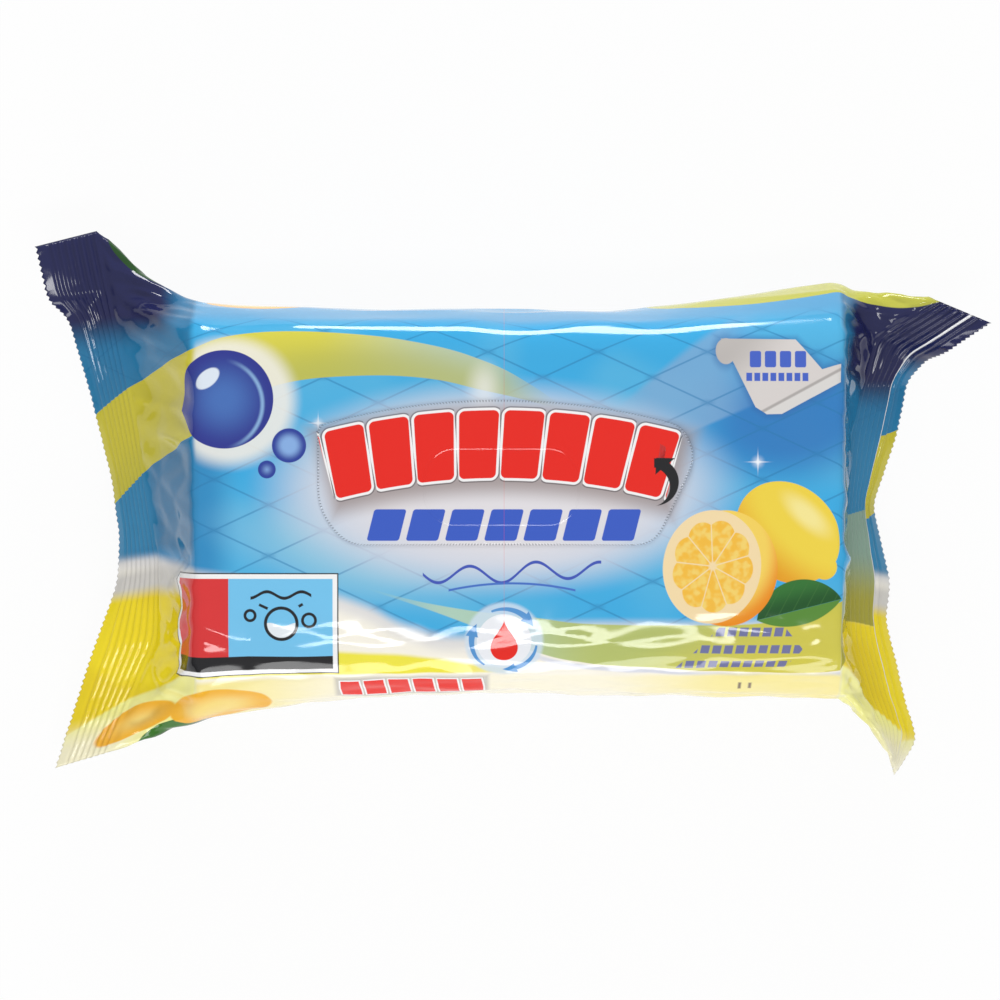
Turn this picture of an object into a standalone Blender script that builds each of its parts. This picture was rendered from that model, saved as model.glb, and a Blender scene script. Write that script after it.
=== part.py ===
"""Sealed film pack of household wipes, lying on its back, with the reseal label on its face.

One tube of printed film is wrapped around a stack of folded wipes. A lapped seam closes it along the
back, and a crimped seal closes it at each end. The flattened tube is wider than the stack, so each
end seal stands out past the stack's corners as two ears. Metres, +Z up, +X along the pack.
The origin is the middle of the flat back that the pack lies on.
"""

import bmesh
import bpy
import numpy as np

# The stack of folded wipes that gives the pack its block shape
STACK_LENGTH = 0.190
STACK_WIDTH = 0.098
STACK_HEIGHT = 0.056

# The film round the stack
REAR_BULGE = 0.0067        # how far the rear side swells past the face, at half height
FRONT_BULGE = 0.0098       # and the front side
SIDE_ROUNDNESS = 2.4       # power of the swelling's profile: 2 is a parabola
FACE_EDGE_ROUND = 0.0070   # half width of the rounding along the long edges of the face
END_EDGE_ROUND = 0.0022    # half width of the rounding at the short ends of the face
END_DROP = 0.0016          # how far the stack's flat sides come in towards its ends
END_DROP_RUN = 0.034       # length over which they do
FRONT_DROP = 0.0022        # how far the face comes down towards its front edge
FRONT_DROP_RUN = 0.022     # width over which it does
SIDE_SLACK = 0.0090        # extra film over the height of a side wall

# How much further the sides swell towards the stack's corners, where the ears pull them out. A
# row is the end, the side, how far, the length over which it grows, and the power of its growth.
FLARES = (
    (-1, -1, 0.0080, 0.095, 3.0),
    (-1, 1, 0.0025, 0.050, 1.3),
    (1, -1, 0.0008, 0.050, 1.3),
    (1, 1, 0.0083, 0.070, 1.3),
)

# The end seals
END_RUN = 0.030            # free film between the stack's edge and the seal
END_SAG = 1.35             # power of the fall from the face to the seal: 1 is a straight slope
LEFT_WAISTS = (1.0, 1.5)   # power of the film's spread from the stack to the front and rear ears:
RIGHT_WAISTS = (1.6, 0.8)  # above 1 the ear's root is drawn in
SEAL_WIDTH = 0.019
SEAL_THICKNESS = 0.0009
RIB_COUNT = 7
RIB_PITCH = 0.0022
RIB_DEPTH = 0.0007
KINK_ROUND = 0.0040        # half width of the rounding where a seal bends along its length
EAR_FOLD_ROUND = 0.0009    # distance over which the two layers of a seal meet in the ear's fold

# Each end seal lies along two lines, from the front ear to the rear ear. A point of a line is
# its place across the pack, as a share of half the flattened tube, then how far it reaches
# past the stack's end, and its height above half the stack's height.
LEFT_SEAL_INNER = (
    (-0.940, 0.0282, -0.0040),
    (-0.523, 0.0129, 0.0000),
    (-0.231, 0.0126, 0.0000),
    (0.355, 0.0204, 0.0000),
    (0.731, 0.0269, 0.0010),
    (0.973, 0.0308, 0.0030),
)
LEFT_SEAL_OUTER = (
    (-1.005, 0.0448, -0.0120),
    (-0.560, 0.0330, -0.0080),
    (-0.321, 0.0260, -0.0110),
    (-0.157, 0.0254, -0.0130),
    (0.063, 0.0277, -0.0130),
    (0.400, 0.0345, -0.0110),
    (0.655, 0.0400, -0.0040),
    (0.720, 0.0457, 0.0020),
    (0.914, 0.0490, 0.0050),
)
RIGHT_SEAL_INNER = (
    (-0.955, 0.0162, 0.0020),
    (-0.736, 0.0090, -0.0030),
    (-0.523, 0.0034, 0.0010),
    (-0.307, 0.0032, 0.0000),
    (-0.085, 0.0026, 0.0000),
    (0.209, 0.0043, 0.0000),
    (0.369, 0.0069, 0.0010),
    (0.582, 0.0114, 0.0040),
    (0.713, 0.0293, 0.0100),
)
RIGHT_SEAL_OUTER = (
    (-1.035, 0.0189, -0.0160),
    (-0.907, 0.0258, -0.0160),
    (-0.760, 0.0222, -0.0150),
    (-0.450, 0.0160, -0.0130),
    (-0.321, 0.0175, -0.0130),
    (-0.030, 0.0123, -0.0150),
    (0.227, 0.0192, -0.0110),
    (0.432, 0.0224, -0.0100),
    (0.505, 0.0275, -0.0040),
    (0.523, 0.0320, 0.0020),
    (0.629, 0.0445, 0.0150),
)

# Gathers of the film between the stack's ends and the seals. A row is the end, the layer
# (1 on the face's side), the gather's place across at the stack and at the seal, its half
# width, and its height, which is below zero for a hollow.
GATHERS = (
    (-1, 1, 0.50, 0.66, 0.011, 0.0016),
    (-1, 1, 0.30, 0.42, 0.010, -0.0012),
    (-1, 1, 0.02, 0.08, 0.014, 0.0010),
    (-1, 1, -0.22, -0.30, 0.010, -0.0011),
    (-1, 1, -0.46, -0.62, 0.012, 0.0015),
    (-1, -1, 0.40, 0.55, 0.012, 0.0014),
    (-1, -1, 0.05, 0.00, 0.013, -0.0010),
    (-1, -1, -0.38, -0.50, 0.012, 0.0014),
    (1, 1, 0.42, 0.50, 0.010, 0.0014),
    (1, 1, 0.16, 0.22, 0.012, -0.0012),
    (1, 1, -0.12, -0.16, 0.012, 0.0011),
    (1, 1, -0.40, -0.55, 0.011, -0.0012),
    (1, -1, 0.36, 0.48, 0.012, 0.0013),
    (1, -1, -0.02, 0.05, 0.013, -0.0010),
    (1, -1, -0.42, -0.58, 0.012, 0.0013),
)

# The lapped seam along the back
SEAM_WIDTH = 0.012
SEAM_STEP = 0.0005         # how far the film beside the seam's free edge is pressed in
SEAM_STEP_RUN = 0.009      # distance over which that film comes back to the flat back

# The reseal label: its top is an arch, its right side a pull tab, and its lower edge straight
LABEL_GAP = 0.0003
LABEL_THICKNESS = 0.0003
LABEL_CENTRE_X = -0.0055
LABEL_CENTRE_Y = 0.0071
LABEL_WIDTH = 0.1065
LABEL_TOP = 0.0212         # height of the arch's crown above the label's centre
LABEL_ARCH_DROP = 0.0075   # how much lower the arch is at the label's sides
LABEL_BOTTOM = -0.0212
LABEL_FOOT_INSET = 0.0080  # how far the lower edge's ends lie inside the label's sides
LABEL_SHOULDER = -0.0105   # height at which the left side turns in to the lower edge
LABEL_CORNER = 0.0060
TAB_REACH = 0.0040         # how far the pull tab stands out past the label's side
TAB_HEIGHT = 0.0180

HALF_LENGTH = STACK_LENGTH / 2
HALF_WIDTH = STACK_WIDTH / 2
MID_HEIGHT = STACK_HEIGHT / 2
HALF_FLAT = HALF_WIDTH + (STACK_HEIGHT + SIDE_SLACK) / 2
EDGE_SHARE = HALF_WIDTH / HALF_FLAT
SEAL_START = HALF_LENGTH + END_RUN
FILM_END = SEAL_START + SEAL_WIDTH


def smooth_step(value):
    """0 below 0, 1 above 1, and a smooth rise between them."""
    share = np.clip(value, 0.0, 1.0)
    return share * share * (3.0 - 2.0 * share)


def seal_line(points, end):
    """A function from the share along a seal, -1 to 1, to the points of one of its lines.

    The line runs straight between its given points, measured by its own length, and its bends
    are rounded by a running mean.
    """
    table = np.array(points, float)
    corners = np.column_stack((
        end * (HALF_LENGTH + table[:, 1]),
        table[:, 0] * HALF_FLAT,
        MID_HEIGHT + table[:, 2],
    ))
    run = np.concatenate(([0.0], np.cumsum(np.linalg.norm(np.diff(corners, axis=0), axis=1))))
    share = run / run[-1] * 2.0 - 1.0
    window = KINK_ROUND / (run[-1] / 2.0)
    places = np.linspace(-1.0, 1.0, 401)
    narrow = np.minimum(window, 1.0 - np.abs(places))
    spread = places[:, None] + narrow[:, None] * np.linspace(-1.0, 1.0, 21)
    rounded_line = [np.interp(spread, share, corners[:, axis]).mean(axis=1) for axis in range(3)]

    def point(along):
        return np.stack([np.interp(along, places, line) for line in rounded_line], -1)

    return point


SEAL_LINES = {
    -1: (seal_line(LEFT_SEAL_INNER, -1), seal_line(LEFT_SEAL_OUTER, -1)),
    1: (seal_line(RIGHT_SEAL_INNER, 1), seal_line(RIGHT_SEAL_OUTER, 1)),
}


def unwrap(round_share):
    """Splits a place round the tube into its share across, -1 to 1, and its layer.

    round_share is 0 at the middle of the face, 1 at the rear side's fold, -1 at the front side's,
    and 2 or -2 at the middle of the back. The layer is 1 on the face's half and -1 on the back's.
    """
    wrapped = (round_share + 2.0) % 4.0 - 2.0
    beyond = np.abs(wrapped) > 1.0
    across = np.where(beyond, np.sign(wrapped) * (2.0 - np.abs(wrapped)), wrapped)
    return across, np.where(beyond, -1.0, 1.0)


def stack_point(x, across, layer):
    """A point of the film round the stack, before its edges are rounded."""
    outside = ((np.abs(across) - EDGE_SHARE) / (1.0 - EDGE_SHARE)).clip(0.0, 1.0)
    rise = 1.0 - outside
    bulge = np.where(across > 0.0, REAR_BULGE, FRONT_BULGE)
    for end, side, most, length, power in FLARES:
        near = (1.0 - (HALF_LENGTH - end * x) / length).clip(0.0, 1.0)
        bulge = bulge + np.where(np.sign(across) == side, most * near ** power, 0.0)
    swell = bulge * (1.0 - rise ** SIDE_ROUNDNESS)
    flat = np.clip(np.abs(across) / EDGE_SHARE, 0.0, 1.0) * HALF_WIDTH
    y = np.sign(across) * (flat + np.where(outside > 0.0, swell, 0.0))
    drop = END_DROP * smooth_step(1.0 - (HALF_LENGTH - np.abs(x)) / END_DROP_RUN)
    to_front = (1.0 - (HALF_WIDTH + np.sign(across) * flat) / FRONT_DROP_RUN).clip(0.0, 1.0)
    drop = drop + FRONT_DROP * to_front ** 2
    face_height = MID_HEIGHT - np.where(layer > 0.0, drop, 0.0)
    return np.stack([x, y, MID_HEIGHT + layer * face_height * rise], -1)


def seal_point(end, depth, across, layer):
    """A point of an end seal's layer. depth is 0 at its inner line and 1 at the cut edge."""
    inner, outer = SEAL_LINES[end]
    middle = inner(across) * (1.0 - depth)[..., None] + outer(across) * depth[..., None]
    return middle + layer[..., None] * half_thickness(across)[..., None] * seal_normal(end, across)


def seal_normal(end, across):
    """The upward direction square to an end seal at a share along it."""
    inner, outer = SEAL_LINES[end]
    step = 0.01
    low, high = np.clip(across - step, -1.0, 1.0), np.clip(across + step, -1.0, 1.0)
    normal = np.cross(outer(across) - inner(across), inner(high) - inner(low)) * end
    return normal / np.linalg.norm(normal, axis=-1, keepdims=True)


def half_thickness(across):
    """Half the seal's thickness, which closes to nothing at the ears' folds."""
    from_fold = (1.0 - np.abs(across)) * HALF_FLAT
    return SEAL_THICKNESS / 2.0 * np.sqrt(np.clip(from_fold / EAR_FOLD_ROUND, 0.0, 1.0))


def raw_point(along, round_share):
    """A point of the film with sharp folds. along is the film's own length from its middle."""
    across, layer = unwrap(round_share)
    result = stack_point(np.clip(along, -HALF_LENGTH, HALF_LENGTH), across, layer)
    for end in (-1, 1):
        past = end * along - HALF_LENGTH
        run = np.clip(past / END_RUN, 0.0, 1.0)
        depth = np.clip((past - END_RUN) / SEAL_WIDTH, 0.0, 1.0)
        target = seal_point(end, depth, across, layer)
        fall = 1.0 - (1.0 - run) ** END_SAG
        front_waist, rear_waist = LEFT_WAISTS if end < 0 else RIGHT_WAISTS
        waist = 1.0 + (np.where(across > 0.0, rear_waist, front_waist) - 1.0) * np.abs(across)
        weight = np.stack([run, run ** waist, fall], -1)
        result = np.where((past > 0.0)[..., None], result * (1.0 - weight) + target * weight, result)
    return result


def film_point(along, round_share):
    """A point of the film with its folds rounded, and with the ribs of the end seals."""
    past_end = np.abs(along) - HALF_LENGTH
    to_seal = smooth_step(past_end / END_RUN)
    round_edges = (FACE_EDGE_ROUND * (1.0 - to_seal)) / HALF_FLAT
    round_ends = END_EDGE_ROUND * (1.0 - smooth_step((past_end - END_RUN) / END_EDGE_ROUND + 1.0))
    total = 0.0
    count = 0
    for along_step in np.linspace(-1.0, 1.0, 5):
        for round_step in np.linspace(-1.0, 1.0, 9):
            total = total + raw_point(along + along_step * round_ends,
                                      round_share + round_step * round_edges)
            count += 1
    details = rib_offset(along, round_share) + seam_offset(along, round_share)
    return total / count + details + gather_offset(along, round_share)


def gather_offset(along, round_share):
    """The gathers between the stack's ends and the seals, which stand out from the slopes."""
    across, layer = unwrap(round_share)
    run = ((np.abs(along) - HALF_LENGTH) / END_RUN).clip(0.0, 1.0)
    grow = np.sin(np.pi * run ** 0.8)
    height = np.zeros_like(across)
    for end, side, at_stack, at_seal, half_width, top in GATHERS:
        middle = at_stack + (at_seal - at_stack) * run
        away = np.abs(across - middle) * HALF_FLAT / half_width
        bump = np.where(away < 1.0, 0.5 + 0.5 * np.cos(np.pi * away), 0.0)
        here = (np.sign(along) == end) & (layer == side)
        height = height + np.where(here, top * grow * bump, 0.0)
    outward = np.stack([np.sign(along) * 0.45, np.zeros_like(layer), layer * 0.9], -1)
    return height[..., None] * outward


def rib_offset(along, round_share):
    """The crimp's ribs, which run along each end seal and push both layers the same way."""
    across, _ = unwrap(round_share)
    into_seal = np.abs(along) - SEAL_START
    ribbed = (into_seal > 0.0) & (into_seal < RIB_COUNT * RIB_PITCH)
    height = np.where(ribbed, RIB_DEPTH / 2.0 * np.sin(2.0 * np.pi * into_seal / RIB_PITCH), 0.0)
    normals = np.where((along > 0.0)[..., None], seal_normal(1, across), seal_normal(-1, across))
    return height[..., None] * normals


def seam_offset(along, round_share):
    """The lapped seam's free edge on the back: the film beside it is pressed in a little."""
    across, layer = unwrap(round_share)
    beside = -across * HALF_FLAT - SEAM_WIDTH / 2.0
    pressed = np.where(beside > 0.0, 1.0 - beside / SEAM_STEP_RUN, 0.0).clip(0.0, 1.0)
    on_stack = 1.0 - smooth_step((np.abs(along) - HALF_LENGTH + END_RUN / 2.0) / (END_RUN / 2.0))
    height = np.where(layer < 0.0, pressed * SEAM_STEP * on_stack, 0.0)
    return np.stack([np.zeros_like(height), np.zeros_like(height), height], -1)


def film_columns():
    """Places along the film for the mesh: wide apart on the stack, half a rib apart in the seals."""
    stack = np.array([0.0, 0.25, 0.48, 0.66, 0.78, 0.87, 0.94]) * HALF_LENGTH
    fold = HALF_LENGTH + END_EDGE_ROUND * np.array([-0.9, -0.3, 0.3, 0.9])
    slope = HALF_LENGTH + END_RUN * np.array([0.16, 0.30, 0.45, 0.60, 0.75, 0.88, 0.96])
    ribbed = SEAL_START + RIB_PITCH * (np.arange(2 * RIB_COUNT) / 2.0 + 0.25)
    plain = np.array([SEAL_START + RIB_COUNT * RIB_PITCH, FILM_END])
    half = np.concatenate((stack, fold, slope, ribbed, plain))
    return np.concatenate((-half[:0:-1], half))


def film_rows():
    """Places round the tube: close together at the face's edges, the folds and the seam."""
    round_off = FACE_EDGE_ROUND / HALF_FLAT
    face = np.linspace(0.0, 1.0, 9)[:-1] * (EDGE_SHARE - round_off)
    edge = EDGE_SHARE + round_off * np.array([-1.0, -0.45, 0.0, 0.45, 1.0])
    side = edge[-1] + (1.0 - edge[-1]) * np.array([0.25, 0.5, 0.72, 0.88, 0.97])
    quarter = np.concatenate((face, edge, side))
    seam = (SEAM_WIDTH / 2.0 + np.array([-0.0002, 0.0003, SEAM_STEP_RUN])) / HALF_FLAT
    back = np.concatenate((quarter[:1], seam, quarter[3:]))
    rear = np.concatenate((quarter, [1.0], 2.0 - back[::-1]))
    return np.concatenate((rear, -rear[-2:0:-1]))


def make_object(name, mesh, material, collection):
    """Adds an object for a mesh to the pack's collection, with its material."""
    made = bpy.data.objects.new(name, mesh)
    made.data.materials.append(material)
    collection.objects.link(made)
    return made


def plain_material(name, colour, roughness):
    """A Principled material of one colour."""
    material = bpy.data.materials.new(name)
    material.use_nodes = True
    shader = material.node_tree.nodes["Principled BSDF"]
    shader.inputs["Base Color"].default_value = (*colour, 1.0)
    shader.inputs["Roughness"].default_value = roughness
    shader.inputs["Metallic"].default_value = 0.0
    return material


def make_sealed_pack(collection):
    """The sealed pack: a loft of the film's outer surface, closed at the two cut edges."""
    columns, rows = film_columns(), film_rows()
    along, round_share = np.meshgrid(columns, rows, indexing="ij")
    points = film_point(along, round_share)
    net = bmesh.new()
    grid = [[net.verts.new(point) for point in ring] for ring in points]
    count = len(rows)
    for first, second in zip(grid[:-1], grid[1:]):
        for k in range(count):
            following = (k + 1) % count
            net.faces.new((first[k], first[following], second[following], second[k]))
    half = count // 2
    for ring in (grid[0], grid[-1]):
        close_cut_edge(net, ring, int(np.argmin(np.abs(rows - 1.0))), half)
    bmesh.ops.recalc_face_normals(net, faces=net.faces)
    mesh = bpy.data.meshes.new("sealed_pack")
    net.to_mesh(mesh)
    net.free()
    mesh.shade_smooth()
    mesh.set_sharp_from_angle(angle=0.9)
    material = plain_material("printed_film", (0.10, 0.45, 0.75), 0.22)
    return make_object("sealed_pack", mesh, material, collection)


def close_cut_edge(net, ring, fold, half):
    """Closes a cut edge with a strip between the seal's two layers, from one ear to the other."""
    count = len(ring)
    face_side = [ring[(fold - k) % count] for k in range(half + 1)]
    back_side = [ring[(fold + k) % count] for k in range(half + 1)]
    for k in range(half):
        corners = (face_side[k], back_side[k], back_side[k + 1], face_side[k + 1])
        net.faces.new(list(dict.fromkeys(corners)))


def arc_round(before, corner, after, radius, steps=6):
    """Points of a round that replaces a corner between two straight sides."""
    before, corner, after = (np.array(point, float) for point in (before, corner, after))
    to_before = (before - corner) / np.linalg.norm(before - corner)
    to_after = (after - corner) / np.linalg.norm(after - corner)
    opening = np.arccos(np.clip(to_before @ to_after, -1.0, 1.0))
    start = corner + to_before * radius / np.tan(opening / 2.0)
    finish = corner + to_after * radius / np.tan(opening / 2.0)
    inward = to_before + to_after
    centre = corner + inward / np.linalg.norm(inward) * radius / np.sin(opening / 2.0)
    turn = np.pi - opening
    points = []
    for share in np.linspace(0.0, 1.0, steps):
        mixed = (np.sin((1.0 - share) * turn) * (start - centre)
                 + np.sin(share * turn) * (finish - centre)) / np.sin(turn)
        points.append(centre + mixed)
    return points


def label_outline():
    """The label's outline, anticlockwise from the right end of its straight lower edge."""
    half = LABEL_WIDTH / 2.0
    foot = half - LABEL_FOOT_INSET
    side_top = LABEL_TOP - LABEL_ARCH_DROP
    arch = [(x, LABEL_TOP - LABEL_ARCH_DROP * (x / half) ** 2)
            for x in np.linspace(0.80, -0.90, 15) * half]
    corners = [
        (foot, LABEL_BOTTOM),
        (half, side_top - TAB_HEIGHT),
        (half + TAB_REACH, side_top - TAB_HEIGHT / 2.0),
        (half, side_top),
        *arch,
        (-half, side_top),
        (-half, LABEL_SHOULDER),
        (-foot, LABEL_BOTTOM),
    ]
    return rounded(corners, LABEL_CORNER, arch)


def rounded(corners, radius, straight):
    """The outline with each corner rounded by the radius that its sides leave room for."""
    points = []
    for k, corner in enumerate(corners):
        if corner in straight:
            points.append(np.array(corner))
            continue
        before, after = corners[k - 1], corners[(k + 1) % len(corners)]
        room = 0.45 * min(np.linalg.norm(np.subtract(before, corner)),
                          np.linalg.norm(np.subtract(after, corner)))
        to_before = np.subtract(before, corner)
        to_after = np.subtract(after, corner)
        cosine = to_before @ to_after / np.linalg.norm(to_before) / np.linalg.norm(to_after)
        fits = room * np.tan(np.arccos(np.clip(cosine, -1.0, 1.0)) / 2.0)
        points.extend(arc_round(before, corner, after, min(radius, fits)))
    return points


def make_reseal_label(collection):
    """The peel-off label on the face, a flat sheet of its outline and thickness."""
    net = bmesh.new()
    under = [net.verts.new((x, y, 0.0)) for x, y in label_outline()]
    sheet = bmesh.ops.contextual_create(net, geom=under)["faces"]
    raised = bmesh.ops.extrude_face_region(net, geom=sheet, use_keep_orig=True)["geom"]
    top = [part for part in raised if isinstance(part, bmesh.types.BMVert)]
    bmesh.ops.translate(net, verts=top, vec=(0.0, 0.0, LABEL_THICKNESS))
    bmesh.ops.recalc_face_normals(net, faces=net.faces)
    mesh = bpy.data.meshes.new("reseal_label")
    net.to_mesh(mesh)
    net.free()
    material = plain_material("label_film", (0.83, 0.10, 0.07), 0.18)
    label = make_object("reseal_label", mesh, material, collection)
    label.location = (LABEL_CENTRE_X, LABEL_CENTRE_Y, STACK_HEIGHT + LABEL_GAP)
    return label


def main():
    """Clears the scene and makes the pack."""
    for old in list(bpy.data.objects):
        bpy.data.objects.remove(old)
    pack = bpy.data.collections.new("wipes_pack")
    bpy.context.scene.collection.children.link(pack)
    make_sealed_pack(pack)
    make_reseal_label(pack)


main()
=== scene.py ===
import math

import bpy
import numpy as np
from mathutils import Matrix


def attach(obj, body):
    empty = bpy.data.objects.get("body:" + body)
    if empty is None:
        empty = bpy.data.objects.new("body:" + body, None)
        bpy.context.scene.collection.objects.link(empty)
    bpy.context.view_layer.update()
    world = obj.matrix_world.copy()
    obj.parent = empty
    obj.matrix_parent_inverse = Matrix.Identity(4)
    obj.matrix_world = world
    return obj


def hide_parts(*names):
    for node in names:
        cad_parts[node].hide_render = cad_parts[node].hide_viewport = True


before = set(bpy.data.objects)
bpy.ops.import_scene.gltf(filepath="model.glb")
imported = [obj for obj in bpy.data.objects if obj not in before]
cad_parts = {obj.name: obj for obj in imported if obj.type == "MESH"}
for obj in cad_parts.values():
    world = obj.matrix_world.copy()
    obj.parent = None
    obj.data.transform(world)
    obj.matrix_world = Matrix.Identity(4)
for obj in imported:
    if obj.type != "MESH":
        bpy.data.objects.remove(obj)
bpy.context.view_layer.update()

# Where the pack lies
# A pale table top under a plain studio light, seen from straight above. One softbox beyond the
# rear edge, one before the front edge and one overhead make the streaks on the film's bends.

CAMERA_PLACE = (-0.0055, -0.0009, 1.155)
VIEW_WIDTH = 0.2915        # width of the picture at the height of the pack's face
FACE_HEIGHT = 0.056
FLOOR_SIZE = 6.0
FLOOR_WHITE = (0.86, 0.86, 0.86)
FLOOR_GLOW = 0.93          # share of the table top, as seen, that is evenly white
LAMPS = {
    "rear_softbox": ((0.01, 1.0, 0.3), (0.37, 0.36), 6.0),
    "ceiling_softbox": ((0.05, -0.37, 1.1), (0.56, 0.17), 2.9),
    "front_softbox": ((-0.05, -1.05, 0.4), (0.9, 0.3), 3.8),
}
SKY_STOPS = ((0.0, 0.12), (0.3, 0.53), (0.75, 0.61))   # a direction's height, and its light

scene = bpy.context.scene
scene.view_settings.view_transform = "Standard"


def placed(name, data):
    """A new object of the scene with some data."""
    thing = bpy.data.objects.new(name, data)
    scene.collection.objects.link(thing)
    return thing


class Field:
    """A number that changes over the surface, which joins others with plain arithmetic."""

    def __init__(self, tree, socket):
        self.tree, self.socket = tree, socket

    def join(self, operation, *others, swap=False):
        made = self.tree.nodes.new("ShaderNodeMath")
        made.operation = operation
        values = (self, *others)
        for slot, value in zip(made.inputs, values[::-1] if swap else values):
            feed(slot, value)
        return Field(self.tree, made.outputs[0])

    def __add__(self, other): return self.join("ADD", other)
    def __radd__(self, other): return self.join("ADD", other)
    def __sub__(self, other): return self.join("SUBTRACT", other)
    def __rsub__(self, other): return self.join("SUBTRACT", other, swap=True)
    def __mul__(self, other): return self.join("MULTIPLY", other)
    def __truediv__(self, other): return self.join("DIVIDE", other)
    def __neg__(self): return self.join("MULTIPLY", -1.0)
    def __abs__(self): return self.join("ABSOLUTE")
    def scaled(self, factor, added): return self.join("MULTIPLY_ADD", factor, added)
    def root(self): return self.join("SQRT")
    def most(self, other): return self.join("MAXIMUM", other)
    def least(self, other): return self.join("MINIMUM", other)
    def above(self, other): return self.join("GREATER_THAN", other)
    def sine(self): return self.join("SINE")
    def power(self, other): return self.join("POWER", other)
    def rest(self, step): return self.join("FLOORED_MODULO", step)


def feed(socket, value):
    """Gives a socket a field, another socket's value, a number or an opaque colour."""
    if isinstance(value, Field):
        value.tree.links.new(value.socket, socket)
    elif isinstance(value, bpy.types.NodeSocket):
        value.id_data.links.new(value, socket)
    else:
        socket.default_value = (*value, 1.0) if isinstance(value, tuple) else value


camera_data = bpy.data.cameras.new("camera")
camera_data.sensor_width = 36.0
camera_data.lens = camera_data.sensor_width * (CAMERA_PLACE[2] - FACE_HEIGHT) / VIEW_WIDTH
scene.camera = placed("camera", camera_data)
scene.camera.location = CAMERA_PLACE

for lamp_name, (place, size, watts) in LAMPS.items():
    lamp_data = bpy.data.lights.new(lamp_name, "AREA")
    lamp_data.shape = "ELLIPSE"
    lamp_data.size, lamp_data.size_y = size
    lamp_data.energy = watts
    lamp = placed(lamp_name, lamp_data)
    lamp.location = place
    lamp.rotation_euler = (-lamp.location).to_track_quat("-Z", "Y").to_euler()
    lamp.visible_camera = False

world = bpy.data.worlds.new("studio")
scene.world = world
world.use_nodes = True
sky_nodes = world.node_tree.nodes
sky_place = sky_nodes.new("ShaderNodeTexCoord")
sky_parts = sky_nodes.new("ShaderNodeSeparateXYZ")
sky_ramp = sky_nodes.new("ShaderNodeValToRGB")
sky_ramp.color_ramp.elements.new(0.5)
for stop, (rise, light) in zip(sky_ramp.color_ramp.elements, SKY_STOPS):
    stop.position, stop.color = rise, (light, light, light, 1.0)
feed(sky_parts.inputs[0], sky_place.outputs["Generated"])
feed(sky_ramp.inputs["Fac"], sky_parts.outputs["Z"])
feed(sky_nodes["Background"].inputs["Color"], sky_ramp.outputs["Color"])

floor_mesh = bpy.data.meshes.new("table_top")
half_floor = FLOOR_SIZE / 2.0
floor_mesh.from_pydata(
    [(-half_floor, -half_floor, 0.0), (half_floor, -half_floor, 0.0),
     (half_floor, half_floor, 0.0), (-half_floor, half_floor, 0.0)], [], [(0, 1, 2, 3)])
table_top = placed("table_top", floor_mesh)
table_white = bpy.data.materials.new("table_white")
table_white.use_nodes = True
floor_tree = table_white.node_tree
floor_shader = floor_tree.nodes["Principled BSDF"]
feed(floor_shader.inputs["Base Color"], FLOOR_WHITE)
feed(floor_shader.inputs["Roughness"], 0.9)
feed(floor_shader.inputs["Specular IOR Level"], 0.0)
floor_glow = floor_tree.nodes.new("ShaderNodeEmission")
feed(floor_glow.inputs["Color"], (1.0, 1.0, 1.0))
floor_path = floor_tree.nodes.new("ShaderNodeLightPath")
seen, mirrored, passed = (Field(floor_tree, floor_path.outputs[kind]) for kind in
                          ("Is Camera Ray", "Is Glossy Ray", "Is Transmission Ray"))
floor_mix = floor_tree.nodes.new("ShaderNodeMixShader")
feed(floor_mix.inputs["Fac"], (seen + mirrored + passed).least(1.0) * FLOOR_GLOW)
feed(floor_mix.inputs[1], floor_shader.outputs["BSDF"])
feed(floor_mix.inputs[2], floor_glow.outputs["Emission"])
feed(floor_tree.nodes["Material Output"].inputs["Surface"], floor_mix.outputs["Shader"])
floor_mesh.materials.append(table_white)


# The film pack
# One tube of printed laminate film round a stack of folded wipes. It is lapped and welded along the
# back, and crimped between ribbed jaws at both ends, where a toothed knife cuts it off.

STACK_LENGTH = 0.19
STACK_WIDTH = 0.098
STACK_HEIGHT = 0.056
REAR_BULGE, FRONT_BULGE = 0.0067, 0.0098
SIDE_ROUNDNESS = 2.4
FACE_EDGE_ROUND = 0.007
END_EDGE_ROUND = 0.0022
END_DROP, END_DROP_RUN = 0.0016, 0.034
FRONT_DROP, FRONT_DROP_RUN = 0.0022, 0.022
SIDE_SLACK = 0.009
# How far the sides bulge more by the corners: end, side, most, length, and how sharply it grows
FLARES = (
    (-1, -1, 0.008, 0.095, 3.0), (-1, 1, 0.0025, 0.05, 1.3),
    (1, -1, 0.0008, 0.05, 1.3), (1, 1, 0.0083, 0.07, 1.3),
)
END_RUN = 0.03             # free film between the stack's edge and the seal
END_SAG = 1.35             # how soon that film comes down to the seal's height
LEFT_WAISTS, RIGHT_WAISTS = (1.0, 1.5), (1.6, 0.8)   # front and rear; above 1 draws the film in
SEAL_WIDTH = 0.019
SEAL_THICKNESS = 0.0006
RIB_COUNT, RIB_PITCH, RIB_DEPTH = 7, 0.0022, 0.0008
TOOTH_PITCH, TOOTH_DEPTH = 0.0018, 0.0007
KINK_ROUND = 0.003
EAR_FOLD_ROUND = 0.0012
SEAM_WIDTH, SEAM_STEP, SEAM_STEP_RUN = 0.012, 0.0005, 0.009
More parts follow.
